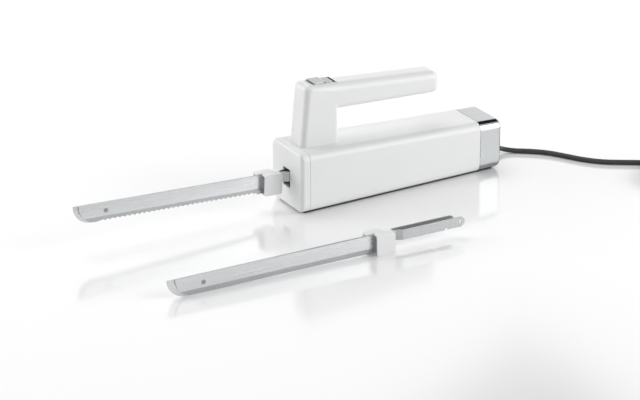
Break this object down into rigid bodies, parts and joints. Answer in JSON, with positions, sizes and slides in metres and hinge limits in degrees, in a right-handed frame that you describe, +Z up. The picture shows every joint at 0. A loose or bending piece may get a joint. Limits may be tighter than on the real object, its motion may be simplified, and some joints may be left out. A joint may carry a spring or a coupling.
{
  "type": "electric carving knife",
  "caption": "Electric carving knife with a loop handle, a twin serrated blade pair in its front slot, a spare plain pair in front of it and a coiled mains lead",
  "frame": {"origin": "middle of the underside of the foot plate, on the rest plane", "axes": "+X from the blades to the lead, +Z up, the spare pair stands on the -Y side"},
  "size_m": [0.7559, 0.2293, 0.1369],
  "materials": {
    "housing": "satin moulded ABS",
    "dark_plastic": "matt moulded",
    "nylon": "natural nylon",
    "polished": "bright plated",
    "blade": "ground and polished",
    "steel": "plain steel",
    "cast": "die cast",
    "brass": "turned",
    "copper": "enamelled copper",
    "lead_cover": "smooth PVC cover"
  },
  "bodies": {
    "housing": {"main_sleeve": "housing", "front_cap": "housing", "slot_liner": "dark_plastic", "rear_cap": "polished", "foot_plate": "dark_plastic", "foot_screws": "steel", "handle_near_shell": "housing", "handle_far_shell": "housing", "handle_screws": "steel", "switch_frame": "polished", "power_spring": "steel", "microswitch": "dark_plastic", "switch_bracket": "nylon", "carrier_guide": "nylon", "latch_spring": "steel", "gear_frame": "cast", "gear_frame_screws": "steel", "wheel_axle": "steel", "front_bearing": "brass", "rear_bearing": "brass", "field_frame": "steel", "field_coils": "copper", "motor_cradle": "nylon", "rear_bracket": "nylon", "brush_holders": "brass", "carbon_brushes": "dark_plastic", "interference_filter": "nylon", "terminal_block": "nylon", "internal_leads": "lead_cover", "cord_clamp": "nylon", "clamp_screws": "steel", "strain_relief": "lead_cover", "cord_free": "lead_cover", "cord_coil": "lead_cover", "mains_plug": "lead_cover", "plug_pins": "polished"},
    "near_blade_set": {"near_blade": "blade", "near_collar": "housing", "blade_rivet": "polished"},
    "far_blade_set": {"far_blade": "blade", "far_collar": "housing"},
    "near_carrier": {"near_carrier": "nylon"},
    "far_carrier": {"far_carrier": "nylon"},
    "drive_wheel": {"worm_wheel": "nylon", "wheel_eccentrics": "nylon"},
    "rotor": {"motor_shaft": "steel", "worm": "brass", "cooling_fan": "nylon", "armature": "steel", "armature_windings": "copper", "commutator": "copper"},
    "power_button": {"power_button": "polished"},
    "lock_slider": {"lock_slider": "polished"},
    "release_button": {"release_button": "polished", "release_spring": "steel"},
    "spare_near_set": {"spare_near_blade": "blade", "spare_near_collar": "housing", "spare_rivet": "polished"},
    "spare_far_set": {"spare_far_blade": "blade", "spare_far_collar": "housing"}
  },
  "joints": [
    {"name": "near_stroke", "type": "slide", "parent": "housing", "child": "near_carrier", "axis": [0.999, 0, -0.0456], "range_m": [-0.00665, 0.00135]},
    {"name": "far_stroke", "type": "slide", "parent": "housing", "child": "far_carrier", "axis": [0.999, 0, -0.0456], "range_m": [-0.00135, 0.00665]},
    {"name": "near_pull", "type": "slide", "parent": "near_carrier", "child": "near_blade_set", "axis": [0.999, 0, -0.0456], "range_m": [-0.08, 0]},
    {"name": "far_pull", "type": "slide", "parent": "far_carrier", "child": "far_blade_set", "axis": [0.999, 0, -0.0456], "range_m": [-0.08, 0]},
    {"name": "rotor_spin", "type": "hinge", "parent": "housing", "child": "rotor", "pos_m": [-0.03744, 0, 0.04117], "axis": [0.999, 0, -0.0456], "continuous": true},
    {"name": "wheel_spin", "type": "hinge", "parent": "housing", "child": "drive_wheel", "pos_m": [-0.03814, 0, 0.02599], "axis": [0, 1, 0], "continuous": true},
    {"name": "power_press", "type": "slide", "parent": "housing", "child": "power_button", "axis": [-0.0755, 0, -0.9971], "range_m": [0, 0.002], "stiffness_N_per_m": 500, "springref_m": -0.002, "deforming": ["power_spring"]},
    {"name": "lock_slide", "type": "slide", "parent": "housing", "child": "lock_slider", "axis": [0.9971, 0, -0.0755], "range_m": [0, 0.003]},
    {"name": "release_press", "type": "slide", "parent": "housing", "child": "release_button", "axis": [0, -1, 0], "range_m": [0, 0.0025], "stiffness_N_per_m": 500, "springref_m": -0.002},
    {"name": "spare_lift", "type": "slide", "parent": "housing", "child": "spare_near_set", "axis": [0, 0, 1], "range_m": [0, 0.1]},
    {"name": "spare_slide", "type": "slide", "parent": "spare_near_set", "child": "spare_far_set", "axis": [0.9994, -0.0349, 0.0074], "range_m": [0, 0.016]}
  ],
  "couplings": [
    {"joint": "far_stroke", "follows": "near_stroke", "ratio": -1},
    {"joint": "far_pull", "follows": "near_pull", "ratio": 1},
    {"joint": "wheel_spin", "follows": "rotor_spin", "ratio": -0.14286}
  ]
}
